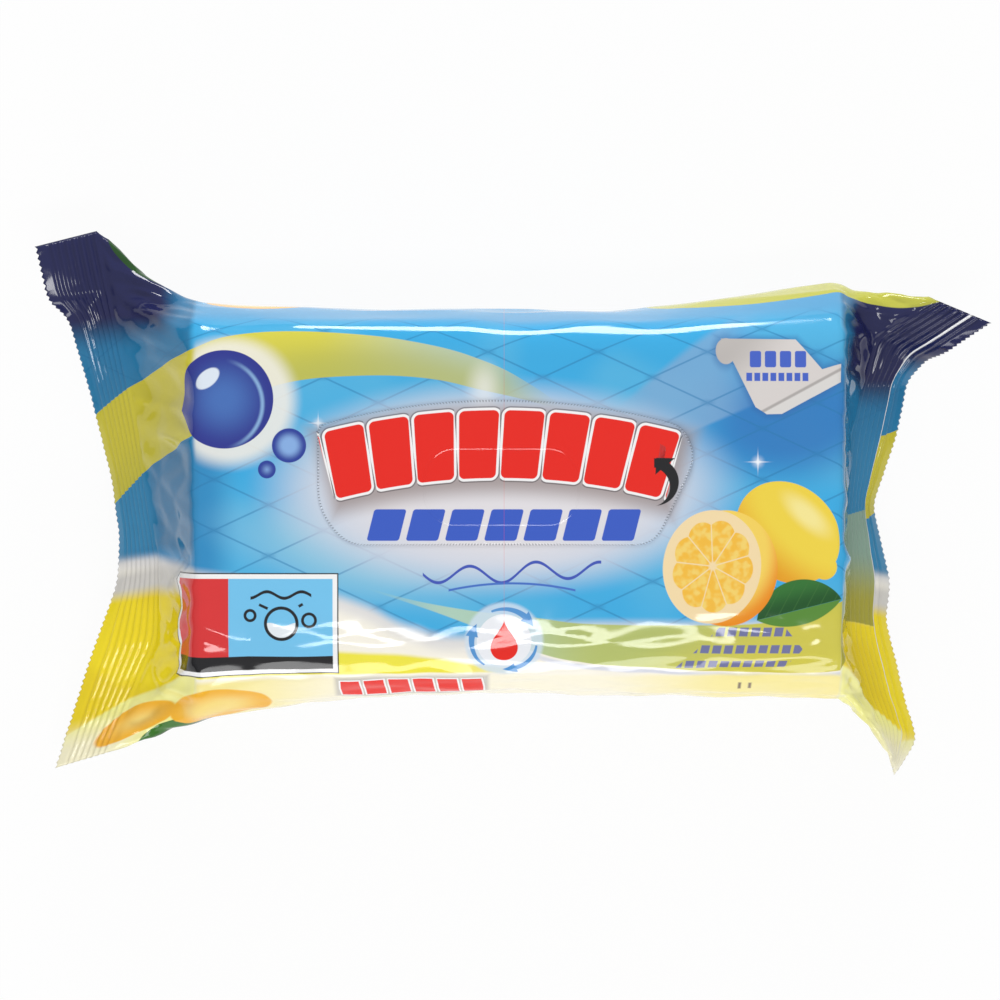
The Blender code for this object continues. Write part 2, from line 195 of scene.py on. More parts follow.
# The inner and outer lines of the end seals: share of the film's half width across the pack,
# distance past the stack's end, and height over the middle of the pack
LEFT_SEAL_INNER = (
    (-0.94, 0.0282, -0.004), (-0.523, 0.0129, 0.0000), (-0.231, 0.0126, 0.0000),
    (0.355, 0.0204, 0.0000), (0.731, 0.0269, 0.001), (0.973, 0.0308, 0.003),
)
LEFT_SEAL_OUTER = (
    (-1.005, 0.0448, -0.012), (-0.56, 0.033, -0.008), (-0.321, 0.026, -0.011),
    (-0.157, 0.0254, -0.013), (0.063, 0.0277, -0.013), (0.4, 0.0345, -0.011),
    (0.655, 0.04, -0.004), (0.72, 0.0457, 0.002), (0.914, 0.049, 0.005),
)
RIGHT_SEAL_INNER = (
    (-0.955, 0.0162, 0.002), (-0.736, 0.009, -0.003), (-0.523, 0.0034, 0.001),
    (-0.307, 0.0032, 0.0000), (-0.085, 0.0026, 0.0000), (0.209, 0.0043, 0.0000),
    (0.369, 0.0069, 0.001), (0.582, 0.0114, 0.004), (0.713, 0.0293, 0.01),
)
RIGHT_SEAL_OUTER = (
    (-1.035, 0.0189, -0.016), (-0.907, 0.0258, -0.016), (-0.76, 0.0222, -0.015),
    (-0.45, 0.016, -0.013), (-0.321, 0.0175, -0.013), (-0.03, 0.0123, -0.015),
    (0.227, 0.0192, -0.011), (0.432, 0.0224, -0.01), (0.505, 0.0275, -0.004),
    (0.523, 0.032, 0.002), (0.629, 0.0445, 0.015),
)
# Sharp pleats from the stack's corners to the seals: end, place across at the stack and at the
# seal, half width, and height
PLEATS = (
    (-1, 0.585, 0.8, 0.005, 0.0016), (-1, 0.5, 0.6, 0.004, -0.0012),
    (-1, -0.585, -0.86, 0.0055, 0.0017), (-1, -0.47, -0.66, 0.0042, -0.0013),
    (-1, -0.25, -0.38, 0.0048, 0.0011), (-1, 0.18, 0.3, 0.0045, 0.0009),
    (1, 0.585, 0.74, 0.0048, 0.0016), (1, 0.46, 0.58, 0.0038, -0.0012),
    (1, -0.585, -0.82, 0.005, 0.0016), (1, -0.45, -0.62, 0.004, -0.0012),
    (1, -0.2, -0.28, 0.0042, 0.001), (1, 0.15, 0.2, 0.0042, 0.0009),
)
# Soft gathers there: end, layer, place across at the stack and at the seal, half width, height
GATHERS = (
    (-1, 1, 0.5, 0.66, 0.011, 0.0016), (-1, 1, 0.3, 0.42, 0.01, -0.0012),
    (-1, 1, 0.02, 0.08, 0.014, 0.001), (-1, 1, -0.22, -0.3, 0.01, -0.0011),
    (-1, 1, -0.46, -0.62, 0.012, 0.0015), (-1, -1, 0.4, 0.55, 0.012, 0.0014),
    (-1, -1, 0.05, 0.00, 0.013, -0.001), (-1, -1, -0.38, -0.5, 0.012, 0.0014),
    (1, 1, 0.42, 0.5, 0.01, 0.0014), (1, 1, 0.16, 0.22, 0.012, -0.0012),
    (1, 1, -0.12, -0.16, 0.012, 0.0011), (1, 1, -0.4, -0.55, 0.011, -0.0012),
    (1, -1, 0.36, 0.48, 0.012, 0.0013), (1, -1, -0.02, 0.05, 0.013, -0.001),
    (1, -1, -0.42, -0.58, 0.012, 0.0013),
)

HALF_LENGTH = STACK_LENGTH / 2.0
HALF_WIDTH = STACK_WIDTH / 2.0
MID_HEIGHT = STACK_HEIGHT / 2.0
HALF_FLAT = HALF_WIDTH + (STACK_HEIGHT + SIDE_SLACK) / 2.0
EDGE_SHARE = HALF_WIDTH / HALF_FLAT
SEAL_START = HALF_LENGTH + END_RUN
FILM_END = SEAL_START + SEAL_WIDTH


def smooth_step(value):
    """0 below 0, 1 above 1, and a smooth rise between them."""
    share = np.clip(value, 0.0, 1.0)
    return share * share * (3.0 - 2.0 * share)


def seal_line(points, end):
    """The rounded line of a seal, as a function of the share along it, -1 to 1."""
    table = np.array(points, float)
    corners = np.column_stack((end * (HALF_LENGTH + table[:, 1]), table[:, 0] * HALF_FLAT,
                               MID_HEIGHT + table[:, 2]))
    run = np.concatenate(([0.0], np.cumsum(np.linalg.norm(np.diff(corners, axis=0), axis=1))))
    share = run / run[-1] * 2.0 - 1.0
    window = KINK_ROUND / (run[-1] / 2.0)
    places = np.linspace(-1.0, 1.0, 801)
    narrow = np.minimum(window, 1.0 - np.abs(places))
    spread = places[:, None] + narrow[:, None] * np.linspace(-1.0, 1.0, 21)
    line = [np.interp(spread, share, corners[:, axis]).mean(axis=1) for axis in range(3)]
    return lambda along: np.stack([np.interp(along, places, part) for part in line], -1)


SEAL_LINES = {
    -1: (seal_line(LEFT_SEAL_INNER, -1), seal_line(LEFT_SEAL_OUTER, -1)),
    1: (seal_line(RIGHT_SEAL_INNER, 1), seal_line(RIGHT_SEAL_OUTER, 1)),
}


def unwrap(round_share):
    """The share across the pack and the layer, 1 on the face's half and -1 on the back's."""
    wrapped = (round_share + 2.0) % 4.0 - 2.0
    beyond = np.abs(wrapped) > 1.0
    across = np.where(beyond, np.sign(wrapped) * (2.0 - np.abs(wrapped)), wrapped)
    return across, np.where(beyond, -1.0, 1.0)


def stack_point(x, across, layer):
    """A point of the film round the stack, before its edges are rounded."""
    rise = 1.0 - ((np.abs(across) - EDGE_SHARE) / (1.0 - EDGE_SHARE)).clip(0.0, 1.0)
    bulge = np.where(across > 0.0, REAR_BULGE, FRONT_BULGE)
    for end, side, most, length, power in FLARES:
        near = (1.0 - (HALF_LENGTH - end * x) / length).clip(0.0, 1.0)
        bulge = bulge + np.where(np.sign(across) == side, most * near ** power, 0.0)
    swell = bulge * (1.0 - rise ** SIDE_ROUNDNESS)
    flat = np.clip(np.abs(across) / EDGE_SHARE, 0.0, 1.0) * HALF_WIDTH
    y = np.sign(across) * (flat + np.where(rise < 1.0, swell, 0.0))
    drop = END_DROP * smooth_step(1.0 - (HALF_LENGTH - np.abs(x)) / END_DROP_RUN)
    to_front = (1.0 - (HALF_WIDTH + np.sign(across) * flat) / FRONT_DROP_RUN).clip(0.0, 1.0)
    drop = drop + FRONT_DROP * to_front ** 2
    face_height = MID_HEIGHT - np.where(layer > 0.0, drop, 0.0)
    return np.stack([x, y, MID_HEIGHT + layer * face_height * rise], -1)


def seal_normal(end, across):
    """The upward direction square to an end seal at a share along it."""
    inner, outer = SEAL_LINES[end]
    low, high = np.clip(across - 0.01, -1.0, 1.0), np.clip(across + 0.01, -1.0, 1.0)
    normal = np.cross(outer(across) - inner(across), inner(high) - inner(low)) * end
    return normal / np.linalg.norm(normal, axis=-1, keepdims=True)


def sharp_film(along, round_share):
    """A point of the film with sharp folds."""
    across, layer = unwrap(round_share)
    result = stack_point(np.clip(along, -HALF_LENGTH, HALF_LENGTH), across, layer)
    from_fold = (1.0 - np.abs(across)) * HALF_FLAT
    half_thick = SEAL_THICKNESS / 2.0 * np.sqrt(np.clip(from_fold / EAR_FOLD_ROUND, 0.0, 1.0))
    for end in (-1, 1):
        at_end = end * along[:, 0] > HALF_LENGTH
        if not at_end.any():
            continue
        across_end, past = across[at_end], end * along[at_end] - HALF_LENGTH
        run = np.clip(past / END_RUN, 0.0, 1.0)
        depth = np.clip((past - END_RUN) / SEAL_WIDTH, 0.0, 1.0)[..., None]
        inner, outer = SEAL_LINES[end]
        target = inner(across_end) * (1.0 - depth) + outer(across_end) * depth
        offset = (layer * half_thick)[at_end][..., None]
        target = target + offset * seal_normal(end, across_end)
        front_waist, rear_waist = LEFT_WAISTS if end < 0 else RIGHT_WAISTS
        waist = np.where(across_end > 0.0, rear_waist, front_waist) - 1.0
        spread = run ** (1.0 + waist * np.abs(across_end))
        weight = np.stack([run, spread, 1.0 - (1.0 - run) ** END_SAG], -1)
        result[at_end] = result[at_end] * (1.0 - weight) + target * weight
    return result


def value_noise(x, y, seed):
    """Smooth random hills between -1 and 1, one for each unit of x and y."""
    heights = np.random.default_rng(seed).uniform(-1.0, 1.0, (64, 64))
    left, low = np.floor(x).astype(int), np.floor(y).astype(int)
    right_share, high_share = smooth_step(x - left), smooth_step(y - low)
    lower, upper = (heights[left % 64, row % 64] * (1.0 - right_share)
                    + heights[(left + 1) % 64, row % 64] * right_share for row in (low, low + 1))
    return lower * (1.0 - high_share) + upper * high_share


def crease_noise(x, y, seed):
    """Sharp random creases, 1 on a crease's line and falling to -1 between them."""
    return 1.0 - 2.0 * np.abs(value_noise(x, y, seed)) ** 0.7


def facets(x, y, seed):
    """Flat facets that meet in sharp creases, as crumpled film has, about one for each unit."""
    random = np.random.default_rng(seed)
    side_places, high_places = random.uniform(0.0, 1.0, (2, 64, 64))
    column, row = np.floor(x).astype(int), np.floor(y).astype(int)
    steps = [(i, j) for i in range(-2, 3) for j in range(-2, 3)]
    seeds_x = np.stack([column + i + side_places[(column + i) % 64, (row + j) % 64] for i, j in steps])
    seeds_y = np.stack([row + j + high_places[(column + i) % 64, (row + j) % 64] for i, j in steps])
    nearest = np.argmin((seeds_x - x) ** 2 + (seeds_y - y) ** 2, axis=0)[None]
    near_x, near_y = (np.take_along_axis(seeds, nearest, axis=0) for seeds in (seeds_x, seeds_y))
    apart_x, apart_y = seeds_x - near_x, seeds_y - near_y
    apart = np.hypot(apart_x, apart_y)
    to_edge = (((seeds_x + near_x) / 2.0 - x) * apart_x + ((seeds_y + near_y) / 2.0 - y) * apart_y)
    return np.where(apart > 1e-9, to_edge / np.maximum(apart, 1e-9), 9.0).min(axis=0)


def face_waves(along, across):
    """The slight waves of the film over the stack, in metres, with ripples by the front edge."""
    wave = 0.00026 * value_noise(along / 0.03, across / 0.022 + 7.0, 3)
    front = smooth_step((-across - 0.026) / 0.014)
    ripple = 0.00035 * value_noise(along / 0.024, across / 0.018, 5)
    ripple = ripple + 0.0012 * facets(along / 0.019 + across / 0.05, across / 0.0105, 8)
    rear = smooth_step((across - 0.036) / 0.012)
    rear_wave = 0.0003 * value_noise(along / 0.045, across / 0.03, 6)
    return wave + front * ripple + rear * rear_wave


def wrinkle_height(along, round_share, across):
    """How far the film's wrinkles stand out from its even shape, outside the end seals."""
    girth = round_share * HALF_FLAT
    past = np.abs(along) - HALF_LENGTH
    on_slope = smooth_step((past + 0.004) / 0.01)
    to_side = smooth_step((np.abs(girth) - HALF_WIDTH + 0.004) / 0.012)
    height = face_waves(along, girth) * (1.0 - on_slope)
    side = 0.0006 * value_noise(along / 0.021, girth / 0.016, 11)
    side = side + 0.0003 * crease_noise(along / 0.03, girth / 0.012, 12)
    height = height + side * to_side * (1.0 - on_slope)
    slope = 0.00075 * crease_noise(along / 0.034, girth / 0.0105 + along / 0.05, 21)
    slope = slope + 0.0013 * facets(along / 0.013, girth / 0.0095 + along / 0.06, 22)
    run = (past / END_RUN).clip(0.0, 1.0)
    for end, at_stack, at_seal, half_width, top in PLEATS:
        away = np.abs(across - at_stack - (at_seal - at_stack) * run) * HALF_FLAT / half_width
        sharp = (1.0 - away).clip(0.0, 1.0) ** 1.3 * np.sin(np.pi * run ** 0.6)
        slope = slope + np.where(np.sign(along) == end, top * sharp, 0.0)
    height = height + slope * on_slope
    ear = smooth_step((np.abs(across) - 0.52) / 0.2) * smooth_step((past - 0.004) / 0.014)
    facet = 0.0016 * facets((along + girth * 0.6) / 0.015, (girth - along * 0.4) / 0.011, 31)
    return height + facet * ear


def seal_height(along, across):
    """How far an end seal's film stands off its even strip: ribs, crinkles and soft bends."""
    into = np.abs(along) - SEAL_START
    ribbed = (into > 0.0) & (into < RIB_COUNT * RIB_PITCH)
    wave = np.sin(2.0 * np.pi * into / RIB_PITCH)
    ribs = np.where(ribbed, RIB_DEPTH / 2.0 * np.sign(wave) * np.abs(wave) ** 0.65, 0.0)
    place = across * HALF_FLAT
    worn = 0.85 + 0.15 * value_noise(along / 0.006, place / 0.012, 41)
    crinkle = 0.0001 * value_noise(along / 0.01, place / 0.0036, 42)
    crinkle = crinkle + 0.0006 * facets(along / 0.022, place / 0.01, 43)
    near_ear = smooth_step((np.abs(across) - 0.45) / 0.35)
    return ribs * worn + crinkle * (0.5 + 0.7 * near_ear)


def even_film(along, round_share):
    """A point of the film with its folds rounded, before its ribs, gathers and wrinkles."""
    past_end = np.abs(along) - HALF_LENGTH
    round_edges = FACE_EDGE_ROUND * (1.0 - smooth_step(past_end / END_RUN)) / HALF_FLAT
    to_seal = smooth_step((past_end - END_RUN) / END_EDGE_ROUND + 1.0)
    round_ends = END_EDGE_ROUND * (1.0 - to_seal)
    steps = [(a, r) for a in np.linspace(-1.0, 1.0, 5) for r in np.linspace(-1.0, 1.0, 9)]
    total = sum(sharp_film(along + a * round_ends, round_share + r * round_edges)
                for a, r in steps)
    return total / len(steps)


def gather_height(along, across, layer):
    """The gathers between the stack's ends and the seals."""
    run = ((np.abs(along) - HALF_LENGTH) / END_RUN).clip(0.0, 1.0)
    grow = np.sin(np.pi * run ** 0.8)
    height = np.zeros_like(across)
    for end, side, at_stack, at_seal, half_width, top in GATHERS:
        middle = at_stack + (at_seal - at_stack) * run
        away = np.abs(across - middle) * HALF_FLAT / half_width
        bump = np.where(away < 1.0, 0.5 + 0.5 * np.cos(np.pi * away), 0.0)
        height = height + np.where((np.sign(along) == end) & (layer == side), top * grow * bump, 0.0)
    return height


def grid_normals(points):
    """Outward directions at the points of the film's net."""
    along_step = np.gradient(points, axis=0)
    round_step = (np.roll(points, -1, axis=1) - np.roll(points, 1, axis=1)) / 2.0
    normals = np.cross(along_step, round_step)
    return normals / np.maximum(np.linalg.norm(normals, axis=-1, keepdims=True), 1e-12)


# The net's columns run along the film, close together at the folds and in the ribs
half_columns = np.concatenate((
    np.linspace(0.0, HALF_LENGTH - 0.01, 30),
    np.linspace(HALF_LENGTH - 0.009, HALF_LENGTH + 0.006, 18),
    np.linspace(HALF_LENGTH + 0.007, SEAL_START - 0.0008, 22),
    SEAL_START + RIB_PITCH / 5.0 * np.arange(5 * RIB_COUNT + 1),
    np.linspace(SEAL_START + RIB_COUNT * RIB_PITCH, FILM_END, 6)[1:],
))
columns = np.concatenate((-half_columns[:0:-1], half_columns))
teeth = int(round(HALF_FLAT / TOOTH_PITCH))
quarter_rows = np.linspace(0.0, 1.0, 2 * teeth + 1)
seam_rows = 2.0 - (SEAM_WIDTH / 2.0 + np.array([-0.00015, 0.00015])) / HALF_FLAT
rear_rows = np.sort(np.concatenate((quarter_rows, 2.0 - quarter_rows[:-1], seam_rows)))
rows = np.concatenate((rear_rows, -rear_rows[-2:0:-1]))
along, round_share = np.meshgrid(columns, rows, indexing="ij")
across, layer = unwrap(round_share)
tooth_place = (1.0 - np.abs(across)) * teeth
tooth = 1.0 - 2.0 * np.abs(tooth_place % 1.0 - 0.5)
near_cut = smooth_step((np.abs(along) - FILM_END + 0.0015) / 0.0015)
cut_along = along - np.sign(along) * TOOTH_DEPTH * tooth * near_cut
film_points = even_film(cut_along, round_share)

outward = grid_normals(film_points)
in_seal = smooth_step((np.abs(along) - SEAL_START + 0.003) / 0.003)
slope_out = np.stack([np.sign(along) * 0.45, np.zeros_like(layer), layer * 0.9], -1)
body_height = wrinkle_height(along, round_share, across) * (1.0 - in_seal)
seal_out = np.where((along > 0.0)[..., None], seal_normal(1, across), seal_normal(-1, across))
film_points = (film_points + outward * body_height[..., None]
               + slope_out * gather_height(along, across, layer)[..., None]
               + seal_out * (seal_height(along, across) * in_seal)[..., None])

# The lapped seam: the film beside its free edge is pressed in, and the pack lies on the lap
beside_seam = -across * HALF_FLAT - SEAM_WIDTH / 2.0
pressed = np.where(beside_seam > 0.0, 1.0 - beside_seam / SEAM_STEP_RUN, 0.0).clip(0.0, 1.0)
on_stack = 1.0 - smooth_step((np.abs(along) - HALF_LENGTH + END_RUN / 2.0) / (END_RUN / 2.0))
film_points[..., 2] += np.where(layer < 0.0, pressed * SEAM_STEP * on_stack, 0.0)
film_points[..., 2] = np.maximum(film_points[..., 2], 0.0001)

column_count, row_count = film_points.shape[:2]
index = np.arange(column_count * row_count).reshape(column_count, row_count)
following = np.roll(index, -1, axis=1)
film_faces = np.stack([index[:-1], index[1:], following[1:], following[:-1]], -1).reshape(-1, 4)
girth_uv = round_share * HALF_FLAT
next_girth = np.roll(girth_uv, -1, axis=1)
girth_uv = np.where(girth_uv - next_girth > HALF_FLAT, girth_uv - 4.0 * HALF_FLAT, girth_uv)
corner_u = np.stack([along[:-1], along[1:], along[1:], along[:-1]], -1).reshape(-1)
corner_v = np.stack([girth_uv[:-1], girth_uv[1:], next_girth[1:], next_girth[:-1]], -1).reshape(-1)

# The cut edges are closed between the seal's two layers
fold_row = int(np.argmin(np.abs(rows - 1.0)))
cut_steps = 4 * teeth
edge_faces, edge_u, edge_v = [], [], []
for column, order in ((0, 1), (column_count - 1, -1)):
    upper = [index[column, (fold_row - k) % row_count] for k in range(cut_steps + 1)]
    lower = []
    for k in range(cut_steps + 1):
        share_across = across[0, (fold_row - k) % row_count]
        match = np.where((layer[0] < 0.0) & (np.abs(across[0] - share_across) < 1e-9))[0]
        lower.append(index[column, match[0]] if len(match) else upper[k])
    for k in range(cut_steps):
        corners = list(dict.fromkeys([upper[k], lower[k], lower[k + 1], upper[k + 1]][::order]))
        edge_faces.append(corners)
        edge_u.extend([columns[column]] * len(corners))
        edge_v.extend([across[0, (fold_row - k) % row_count] * HALF_FLAT] * len(corners))

film_mesh = bpy.data.meshes.new("film_pack")
film_mesh.from_pydata(film_points.reshape(-1, 3).tolist(), [], film_faces.tolist() + edge_faces)
film_uv = film_mesh.uv_layers.new(name="film")
uv_values = np.column_stack((np.concatenate((corner_u, edge_u)), np.concatenate((corner_v, edge_v))))
film_uv.data.foreach_set("uv", uv_values.astype(np.float32).ravel())
film_mesh.shade_smooth()
film_pack = placed("film_pack", film_mesh)


def fade(value, start, finish):
    """A smooth rise from 0 at start to 1 at finish."""
    made = value.tree.nodes.new("ShaderNodeMapRange")
    made.interpolation_type = "SMOOTHSTEP"
    for label, given in (("Value", value), ("From Min", min(start, finish)),
                         ("From Max", max(start, finish)), ("To Min", float(start > finish)),
                         ("To Max", float(start <= finish))):
        feed(made.inputs[label], given)
    return Field(value.tree, made.outputs["Result"])


def inside(distance, soft=0.12):
    """1 where a distance from an edge is below zero, with an edge as wide as printed ink's."""
    return fade(distance, soft, -soft)


def turned(x, y, middle, angle, scale_x=1.0, scale_y=1.0):
    """Coordinates from a middle along axes turned by an angle in degrees, each with its scale."""
    cosine, sine = math.cos(math.radians(angle)), math.sin(math.radians(angle))
    if angle == 0.0:
        return x.scaled(scale_x, -middle[0] * scale_x), y.scaled(scale_y, -middle[1] * scale_y)
    along_x = y.scaled(sine * scale_x, -(middle[0] * cosine + middle[1] * sine) * scale_x)
    along_y = x.scaled(-sine * scale_y, (middle[0] * sine - middle[1] * cosine) * scale_y)
    return x.scaled(cosine * scale_x, along_x), y.scaled(cosine * scale_y, along_y)


def oval(x, y, middle, radii, angle=0.0):
    """The distance outside an oval, close to true near its edge."""
    across, up = turned(x, y, middle, angle, 1.0 / radii[0], 1.0 / radii[1])
    return across.scaled(across, up * up).root().scaled(min(radii), -min(radii))


def box(x, y, middle, halves, angle=0.0, corner=0.0):
    """The distance outside a box with round corners."""
    dx, dy = turned(x, y, middle, angle)
    if corner == 0.0:
        return (abs(dx) - halves[0]).most(abs(dy) - halves[1])
    out_x = (abs(dx) - (halves[0] - corner)).most(0.0)
    out_y = (abs(dy) - (halves[1] - corner)).most(0.0)
    return (out_x * out_x + out_y * out_y).root() - corner


def many_sided(x, y, corners):
    """The distance outside a convex shape, given its corners anticlockwise."""
    away = None
    for start, finish in zip(corners, corners[1:] + corners[:1]):
        run_x, run_y = finish[0] - start[0], finish[1] - start[1]
        size = math.hypot(run_x, run_y)
        offset = (start[1] * run_x - start[0] * run_y) / size
        side = x.scaled(run_y / size, y.scaled(-run_x / size, offset))
        away = side if away is None else away.most(side)
    return away


def bend(x, stations):
    """A smooth curve through stations of x and height, as the height at x."""
    made = x.tree.nodes.new("ShaderNodeFloatCurve")
    places, heights = [s[0] for s in stations], [s[1] for s in stations]
    span, low = places[-1] - places[0], min(heights)
    tall = max(max(heights) - low, 1e-6)
    curve = made.mapping.curves[0]
    while len(curve.points) < len(stations):
        curve.points.new(0.5, 0.5)
    for point, place, height in zip(curve.points, places, heights):
        point.location = ((place - places[0]) / span, (height - low) / tall)
    made.mapping.update()
    feed(made.inputs["Value"], x.scaled(1.0 / span, -places[0] / span))
    return Field(x.tree, made.outputs["Value"]).scaled(tall, low)


def inked(under, *layers):
    """A colour with others laid over it in turn, each followed by its share between 0 and 1."""
    for colour, share in zip(layers[::2], layers[1::2]):
        made = share.tree.nodes.new("ShaderNodeMix")
        made.data_type = "RGBA"
        for label, given in (("Factor", share), ("A", under), ("B", colour)):
            feed(made.inputs[label], given)
        under = made.outputs["Result"]
    return under


class Paint:
    """What is printed on a film so far."""

    def __init__(self, colour):
        self.colour = colour

    def lay(self, colour, share):
        """Lays a colour over it by a share between 0 and 1."""
        self.colour = inked(self.colour, colour, share)


def shader_group(name, inputs, outputs):
    """A new node group with named inputs and outputs, and its two end nodes."""
    group = bpy.data.node_groups.new(name, "ShaderNodeTree")
    for label, kind in inputs:
        group.interface.new_socket(label, in_out="INPUT", socket_type="NodeSocket" + kind)
    for label, kind in outputs:
        group.interface.new_socket(label, in_out="OUTPUT", socket_type="NodeSocket" + kind)
    return group, group.nodes.new("NodeGroupInput"), group.nodes.new("NodeGroupOutput")


def noise(tree, vector, scale):
    """Soft random clouds over the film, between 0 and 1."""
    made = tree.nodes.new("ShaderNodeTexNoise")
    made.noise_dimensions = "2D"
    feed(made.inputs["Scale"], scale)
    feed(made.inputs["Detail"], 1.0)
    feed(made.inputs["Vector"], vector)
    return Field(tree, made.outputs["Fac"])


def film_place(tree, vector):
    """A film coordinate in metres as two fields in millimetres."""
    parts = tree.nodes.new("ShaderNodeSeparateXYZ")
    feed(parts.inputs[0], vector)
    return Field(tree, parts.outputs["X"]) * 1000.0, Field(tree, parts.outputs["Y"]) * 1000.0


SKY = (0.04, 0.4, 0.745)
SKY_DEEP = (0.026, 0.17, 0.49)
SKY_SIDE = (0.09, 0.35, 0.62)
NAVY = (0.014, 0.017, 0.082)
# The print's blue darkened as painted shade, for the steep end slopes
SHADED_END_TEAL = (0.012, 0.15, 0.32)
PALE = (0.77, 0.735, 0.755)
WHITE = (0.9, 0.9, 0.9)
SWOOSH_GOLD = (0.66, 0.61, 0.07)
RED = (0.8, 0.016, 0.008)
BLOCK_BLUE = (0.04, 0.105, 0.54)
GREY = (0.33, 0.27, 0.265)
BLACK = (0.012, 0.012, 0.014)
FACE_END = HALF_LENGTH * 1000     # the print's lengths are in millimetres
REPEAT, REPEAT_LINE = 281, 137    # length of one pack's print, and where the next begins
CLOUD_SCALE, PULP_SCALE, SCUFF_SCALE = 26, 420, 90    # patches in a metre of film

# Cut and whole fruit with a leaf, drawn by the same group wherever they are printed
fruit_group, fruit_in, fruit_out = shader_group(
    "lemon_print", [("Film", "Vector"), ("Under", "Color")], [("Color", "Color")])
fx, fy = film_place(fruit_group, fruit_in.outputs["Film"])
fruit_paint = Paint(fruit_in.outputs["Under"])
whole_x, whole_y = turned(fx, fy, (78.6, -10.4), -42)
whole = oval(whole_x, whole_y, (0, 0), (16.4, 13.7)).least(
    oval(whole_x, whole_y, (14.9, -0.4), (3.4, 3.6)))
lit = oval(whole_x, whole_y, (1.5, 6), (19, 9))
whole_colour = inked((0.86, 0.65, 0.06), (0.78, 0.33, 0.01), fade(lit, -2, 10))
glint = oval(whole_x, whole_y, (0.5, 7.5), (6.5, 2.6))
whole_colour = inked(whole_colour, (0.93, 0.83, 0.36), fade(glint, 2.2, -1.6) * 0.8)
fruit_paint.lay(whole_colour, inside(whole))
leaf_x, leaf_y = turned(fx, fy, (81.9, -32.9), 14)
leaf_top = oval(leaf_x, leaf_y, (0, -5.2), (13.9, 13.9)).most(-leaf_y)
leaf_low = oval(leaf_x, leaf_y, (0, 16.2), (20.7, 20.7)).most(leaf_y)
vein = abs((leaf_x - abs(leaf_y) * 0.9).rest(4.2) - 2.1)
leaf_colour = inked(
    (0.01, 0.085, 0.016), (0.03, 0.17, 0.03), fade(leaf_y, 1, 7.5),
    (0.045, 0.17, 0.035), fade(vein, 0.35, 0.05) * 0.45)
fruit_paint.lay(leaf_colour, inside(leaf_top))
fruit_paint.lay((0.095, 0.255, 0.036), inside(leaf_low))
cut_body = oval(fx, fy, (60.3, -20.8), (15.2, 16.9))
body_shade = oval(fx, fy, (58.5, -15.5), (15, 17))
body_colour = inked((0.9, 0.64, 0.11), (0.82, 0.26, 0.008), fade(body_shade, -2, 4.5))
fruit_paint.lay(body_colour, inside(cut_body))
cut_face = oval(fx, fy, (56.3, -20.4), (14.3, 16.6), -8)
fruit_paint.lay((0.89, 0.7, 0.4), inside(cut_face))
flesh_x, flesh_y = turned(fx, fy, (56.5, -20.2), -8)
flesh_x = flesh_x * 1.15
flesh_far = (flesh_x * flesh_x + flesh_y * flesh_y).root()
spoke = abs((flesh_x.join("ARCTAN2", flesh_y) + 0.2).rest(2 * math.pi / 9) - math.pi / 9)
spoke_away = (math.pi / 9 - spoke) * flesh_far
lobes = flesh_far - 13.6 + (spoke * 4.3).power(2) * 0.7
flesh = inside(lobes, 0.2) * fade(spoke_away, 0.05, 0.32) * fade(flesh_far, 0.8, 1.8)
pulp = noise(fruit_group, fruit_in.outputs["Film"], PULP_SCALE)
pulp_colour = inked((0.89, 0.5, 0.05), (0.9, 0.64, 0.15), fade(pulp, 0.35, 0.7))
fruit_paint.lay(pulp_colour, flesh)
feed(fruit_out.inputs["Color"], fruit_paint.colour)

# The whole print of the wrap: sky and tile lines, glow, swooshes, waves, panel, band and fruit
print_group, print_in, print_out = shader_group(
    "wrap_print", [("Film", "Vector")], [("Color", "Color")])
u_first, v_first = film_place(print_group, print_in.outputs["Film"])
u = u_first - u_first.above(REPEAT_LINE) * REPEAT
full_girth, half_seam = 4 * HALF_FLAT * 1000, SEAM_WIDTH / 2 * 1000
lap = (-v_first).above(full_girth / 2 - half_seam)
v = v_first + lap * full_girth
past_end = abs(u) - FACE_END
cloud = noise(print_group, print_in.outputs["Film"], CLOUD_SCALE)

# Sky, with its diagonal tile lines and a beam of light towards the folded sheet
wrap = Paint(SKY)
wrap.lay((0.08, 0.44, 0.74), fade(cloud, 0.4, 0.65))
# Painted shade: the blue is darkened along the face's left end, beside the fold where the film turns
# down
wrap.lay((0.028, 0.26, 0.54), fade(u, -80, -92) * fade(v, 26, 10))
deep = oval(u, v, (80, 23), (28, 17), 8)
wrap.lay(SKY_DEEP, fade(deep, 7, -9) * 0.85)
pale_patch = oval(u, v, (-50, -17), (34, 11), -14)
wrap.lay((0.3, 0.58, 0.74), fade(pale_patch, 5, -7) * 0.7)
beam_slope = (v + 8.6) / (u + 13).most(1)
beam = fade(beam_slope, 0.425, 0.445) * fade(beam_slope, 0.86, 0.8) * fade(u, 24, 40)
wrap.lay((0.21, 0.4, 0.64), beam * fade(u, 74, 56) * 0.75)
tilt = (v - 20) * 2.15
line_a = abs((u + tilt + 9).rest(32) - 16)
line_b = abs((u - tilt + 9).rest(32) - 16)
tile_lines = fade(line_a.least(line_b), 0.95, 0.2)
knot = fade(line_a + line_b, 6, 0)
wrap.lay((0.018, 0.185, 0.42), (tile_lines * 0.55).most(knot * 0.45))
wrap.lay(SKY_SIDE, fade(v, 50, 60))
wrap.lay((0.25, 0.5, 0.68), fade(v, 80, 118))

